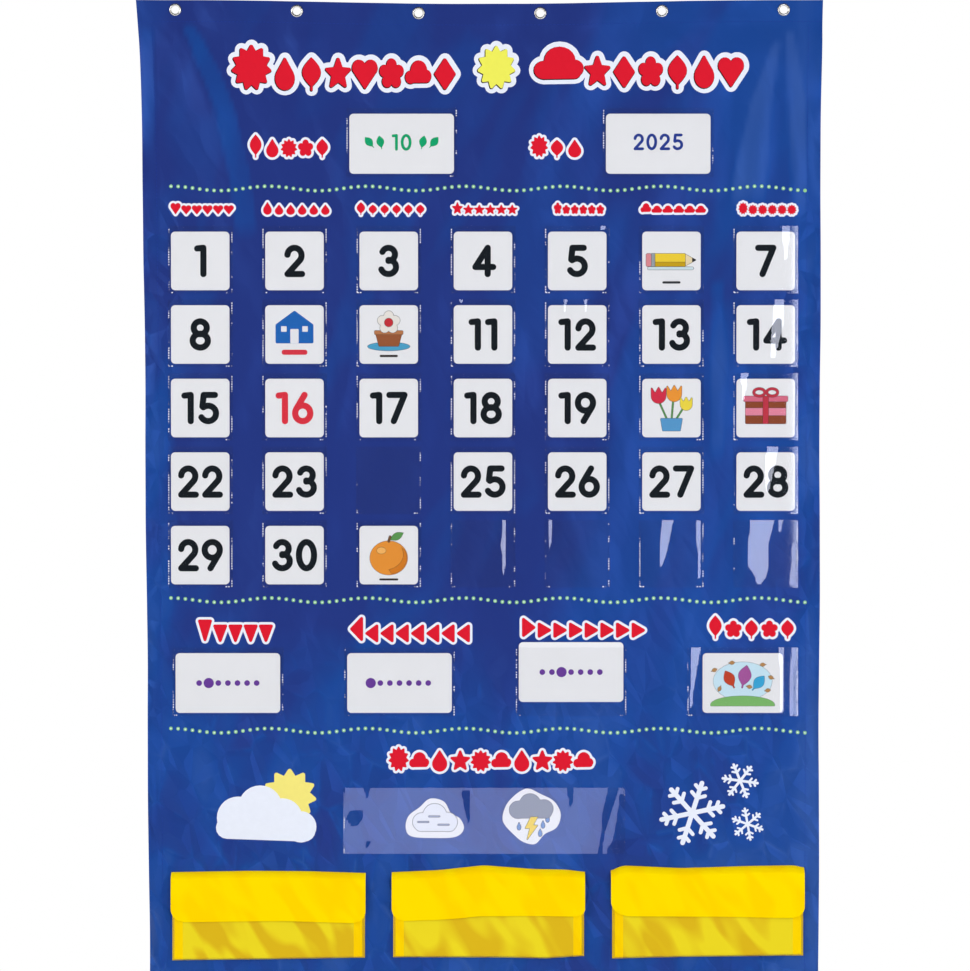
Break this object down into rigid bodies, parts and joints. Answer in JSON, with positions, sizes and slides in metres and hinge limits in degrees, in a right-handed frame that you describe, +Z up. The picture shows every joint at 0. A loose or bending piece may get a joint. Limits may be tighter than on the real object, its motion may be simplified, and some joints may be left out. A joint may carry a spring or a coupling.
{
  "type": "calendar pocket chart",
  "caption": "Blue hanging sheet with eyelets, clear pockets holding loose date, month, day and weather cards, and three yellow storage pouches with flaps.",
  "frame": {"origin": "on the flat back of the sheet, midway between the holes of the two end eyelets", "axes": "+X to the viewer's right, +Z up the hanging sheet, -Y out of its face"},
  "size_m": [0.7458, 0.0126, 1.0791],
  "materials": {
    "coated_nylon": "glossy coated nylon with soft folds",
    "nickel_plate": "polished nickel plate",
    "clear_vinyl": "clear glossy film",
    "laminated_card": "printed and laminated",
    "pouch_vinyl": "yellow vinyl with a hazy window",
    "flap_vinyl": "bright yellow vinyl"
  },
  "bodies": {
    "chart": {"backing_sheet": "coated_nylon", "eyelet_1": "nickel_plate", "eyelet_2": "nickel_plate", "eyelet_3": "nickel_plate", "eyelet_4": "nickel_plate", "eyelet_5": "nickel_plate", "eyelet_6": "nickel_plate", "date_pocket_row_1": "clear_vinyl", "date_pocket_row_2": "clear_vinyl", "date_pocket_row_3": "clear_vinyl", "date_pocket_row_4": "clear_vinyl", "date_pocket_row_5": "clear_vinyl", "month_pocket": "clear_vinyl", "year_pocket": "clear_vinyl", "day_pocket_row": "clear_vinyl", "weather_pocket": "clear_vinyl", "storage_pouch_1": "pouch_vinyl", "storage_pouch_2": "pouch_vinyl", "storage_pouch_3": "pouch_vinyl"},
    "date_card_01": {"date_card_01": "laminated_card"},
    "date_card_02": {"date_card_02": "laminated_card"},
    "date_card_03": {"date_card_03": "laminated_card"},
    "date_card_04": {"date_card_04": "laminated_card"},
    "date_card_05": {"date_card_05": "laminated_card"},
    "date_card_06": {"date_card_06": "laminated_card"},
    "date_card_07": {"date_card_07": "laminated_card"},
    "date_card_08": {"date_card_08": "laminated_card"},
    "date_card_09": {"date_card_09": "laminated_card"},
    "date_card_10": {"date_card_10": "laminated_card"},
    "date_card_11": {"date_card_11": "laminated_card"},
    "date_card_12": {"date_card_12": "laminated_card"},
    "date_card_13": {"date_card_13": "laminated_card"},
    "date_card_14": {"date_card_14": "laminated_card"},
    "date_card_15": {"date_card_15": "laminated_card"},
    "date_card_16": {"date_card_16": "laminated_card"},
    "date_card_17": {"date_card_17": "laminated_card"},
    "date_card_18": {"date_card_18": "laminated_card"},
    "date_card_19": {"date_card_19": "laminated_card"},
    "date_card_20": {"date_card_20": "laminated_card"},
    "date_card_21": {"date_card_21": "laminated_card"},
    "date_card_22": {"date_card_22": "laminated_card"},
    "date_card_23": {"date_card_23": "laminated_card"},
    "date_card_25": {"date_card_25": "laminated_card"},
    "date_card_26": {"date_card_26": "laminated_card"},
    "date_card_27": {"date_card_27": "laminated_card"},
    "date_card_28": {"date_card_28": "laminated_card"},
    "date_card_29": {"date_card_29": "laminated_card"},
    "date_card_30": {"date_card_30": "laminated_card"},
    "date_card_31": {"date_card_31": "laminated_card"},
    "month_card": {"month_card": "laminated_card"},
    "year_card": {"year_card": "laminated_card"},
    "today_card": {"today_card": "laminated_card"},
    "yesterday_card": {"yesterday_card": "laminated_card"},
    "tomorrow_card": {"tomorrow_card": "laminated_card"},
    "season_card": {"season_card": "laminated_card"},
    "weather_cloud_piece": {"weather_cloud_piece": "laminated_card"},
    "weather_storm_piece": {"weather_storm_piece": "laminated_card"},
    "storage_flap_1": {"storage_flap_1": "flap_vinyl"},
    "storage_flap_2": {"storage_flap_2": "flap_vinyl"},
    "storage_flap_3": {"storage_flap_3": "flap_vinyl"}
  },
  "joints": [
    {"name": "date_card_01_slide", "type": "slide", "parent": "chart", "child": "date_card_01", "axis": [0, -0.0244, 0.9997], "range_m": [0, 0.0667]},
    {"name": "date_card_02_slide", "type": "slide", "parent": "chart", "child": "date_card_02", "axis": [0, -0.0244, 0.9997], "range_m": [0, 0.0667]},
    {"name": "date_card_03_slide", "type": "slide", "parent": "chart", "child": "date_card_03", "axis": [0, -0.0244, 0.9997], "range_m": [0, 0.0667]},
    {"name": "date_card_04_slide", "type": "slide", "parent": "chart", "child": "date_card_04", "axis": [0, -0.0244, 0.9997], "range_m": [0, 0.0667]},
    {"name": "date_card_05_slide", "type": "slide", "parent": "chart", "child": "date_card_05", "axis": [0, -0.0244, 0.9997], "range_m": [0, 0.0667]},
    {"name": "date_card_06_slide", "type": "slide", "parent": "chart", "child": "date_card_06", "axis": [0, -0.0244, 0.9997], "range_m": [0, 0.0667]},
    {"name": "date_card_07_slide", "type": "slide", "parent": "chart", "child": "date_card_07", "axis": [0, -0.0244, 0.9997], "range_m": [0, 0.0667]},
    {"name": "date_card_08_slide", "type": "slide", "parent": "chart", "child": "date_card_08", "axis": [0, -0.0244, 0.9997], "range_m": [0, 0.0667]},
    {"name": "date_card_09_slide", "type": "slide", "parent": "chart", "child": "date_card_09", "axis": [0, -0.0244, 0.9997], "range_m": [0, 0.0667]},
    {"name": "date_card_10_slide", "type": "slide", "parent": "chart", "child": "date_card_10", "axis": [0, -0.0244, 0.9997], "range_m": [0, 0.0667]},
    {"name": "date_card_11_slide", "type": "slide", "parent": "chart", "child": "date_card_11", "axis": [0, -0.0244, 0.9997], "range_m": [0, 0.0667]},
    {"name": "date_card_12_slide", "type": "slide", "parent": "chart", "child": "date_card_12", "axis": [0, -0.0244, 0.9997], "range_m": [0, 0.0667]},
    {"name": "date_card_13_slide", "type": "slide", "parent": "chart", "child": "date_card_13", "axis": [0, -0.0244, 0.9997], "range_m": [0, 0.0667]},
    {"name": "date_card_14_slide", "type": "slide", "parent": "chart", "child": "date_card_14", "axis": [0, -0.0244, 0.9997], "range_m": [0, 0.0667]},
    {"name": "date_card_15_slide", "type": "slide", "parent": "chart", "child": "date_card_15", "axis": [0, -0.0244, 0.9997], "range_m": [0, 0.0667]},
    {"name": "date_card_16_slide", "type": "slide", "parent": "chart", "child": "date_card_16", "axis": [0, -0.0244, 0.9997], "range_m": [0, 0.0667]},
    {"name": "date_card_17_slide", "type": "slide", "parent": "chart", "child": "date_card_17", "axis": [0, -0.0244, 0.9997], "range_m": [0, 0.0667]},
    {"name": "date_card_18_slide", "type": "slide", "parent": "chart", "child": "date_card_18", "axis": [0, -0.0244, 0.9997], "range_m": [0, 0.0667]},
    {"name": "date_card_19_slide", "type": "slide", "parent": "chart", "child": "date_card_19", "axis": [0, -0.0244, 0.9997], "range_m": [0, 0.0667]},
    {"name": "date_card_20_slide", "type": "slide", "parent": "chart", "child": "date_card_20", "axis": [0, -0.0244, 0.9997], "range_m": [0, 0.0667]},
    {"name": "date_card_21_slide", "type": "slide", "parent": "chart", "child": "date_card_21", "axis": [0, -0.0244, 0.9997], "range_m": [0, 0.0667]},
    {"name": "date_card_22_slide", "type": "slide", "parent": "chart", "child": "date_card_22", "axis": [0, -0.0244, 0.9997], "range_m": [0, 0.0667]},
    {"name": "date_card_23_slide", "type": "slide", "parent": "chart", "child": "date_card_23", "axis": [0, -0.0244, 0.9997], "range_m": [0, 0.0667]},
    {"name": "date_card_25_slide", "type": "slide", "parent": "chart", "child": "date_card_25", "axis": [0, -0.0244, 0.9997], "range_m": [0, 0.0667]},
    {"name": "date_card_26_slide", "type": "slide", "parent": "chart", "child": "date_card_26", "axis": [0, -0.0244, 0.9997], "range_m": [0, 0.0667]},
    {"name": "date_card_27_slide", "type": "slide", "parent": "chart", "child": "date_card_27", "axis": [0, -0.0244, 0.9997], "range_m": [0, 0.0667]},
    {"name": "date_card_28_slide", "type": "slide", "parent": "chart", "child": "date_card_28", "axis": [0, -0.0244, 0.9997], "range_m": [0, 0.0667]},
    {"name": "date_card_29_slide", "type": "slide", "parent": "chart", "child": "date_card_29", "axis": [0, -0.0244, 0.9997], "range_m": [0, 0.0667]},
    {"name": "date_card_30_slide", "type": "slide", "parent": "chart", "child": "date_card_30", "axis": [0, -0.0244, 0.9997], "range_m": [0, 0.0667]},
    {"name": "date_card_31_slide", "type": "slide", "parent": "chart", "child": "date_card_31", "axis": [0, -0.0244, 0.9997], "range_m": [0, 0.0667]},
    {"name": "month_card_slide", "type": "slide", "parent": "chart", "child": "month_card", "axis": [0, -0.0244, 0.9997], "range_m": [0, 0.0682]},
    {"name": "year_card_slide", "type": "slide", "parent": "chart", "child": "year_card", "axis": [0, -0.0244, 0.9997], "range_m": [0, 0.0682]},
    {"name": "today_card_slide", "type": "slide", "parent": "chart", "child": "today_card", "axis": [0, -0.0244, 0.9997], "range_m": [0, 0.0682]},
    {"name": "yesterday_card_slide", "type": "slide", "parent": "chart", "child": "yesterday_card", "axis": [0, -0.0244, 0.9997], "range_m": [0, 0.0682]},
    {"name": "tomorrow_card_slide", "type": "slide", "parent": "chart", "child": "tomorrow_card", "axis": [0, -0.0244, 0.9997], "range_m": [-0.0119, 0.0563]},
    {"name": "season_card_slide", "type": "slide", "parent": "chart", "child": "season_card", "axis": [0, -0.0244, 0.9997], "range_m": [0, 0.0682]},
    {"name": "weather_cloud_piece_slide", "type": "slide", "parent": "chart", "child": "weather_cloud_piece", "axis": [0, -0.0244, 0.9997], "range_m": [-0.0146, 0.0507]},
    {"name": "weather_storm_piece_slide", "type": "slide", "parent": "chart", "child": "weather_storm_piece", "axis": [0, -0.0244, 0.9997], "range_m": [-0.0065, 0.0588]},
    {"name": "storage_flap_1_fold", "type": "hinge", "parent": "chart", "child": "storage_flap_1", "pos_m": [-0.22907, -0.0011, -0.9347], "axis": [-1, 0, 0], "range_deg": [0, 125]},
    {"name": "storage_flap_2_fold", "type": "hinge", "parent": "chart", "child": "storage_flap_2", "pos_m": [0.0087, -0.0011, -0.9287], "axis": [-1, 0, 0], "range_deg": [0, 125]},
    {"name": "storage_flap_3_fold", "type": "hinge", "parent": "chart", "child": "storage_flap_3", "pos_m": [0.24647, -0.0011, -0.9287], "axis": [-1, 0, 0], "range_deg": [0, 125]}
  ]
}
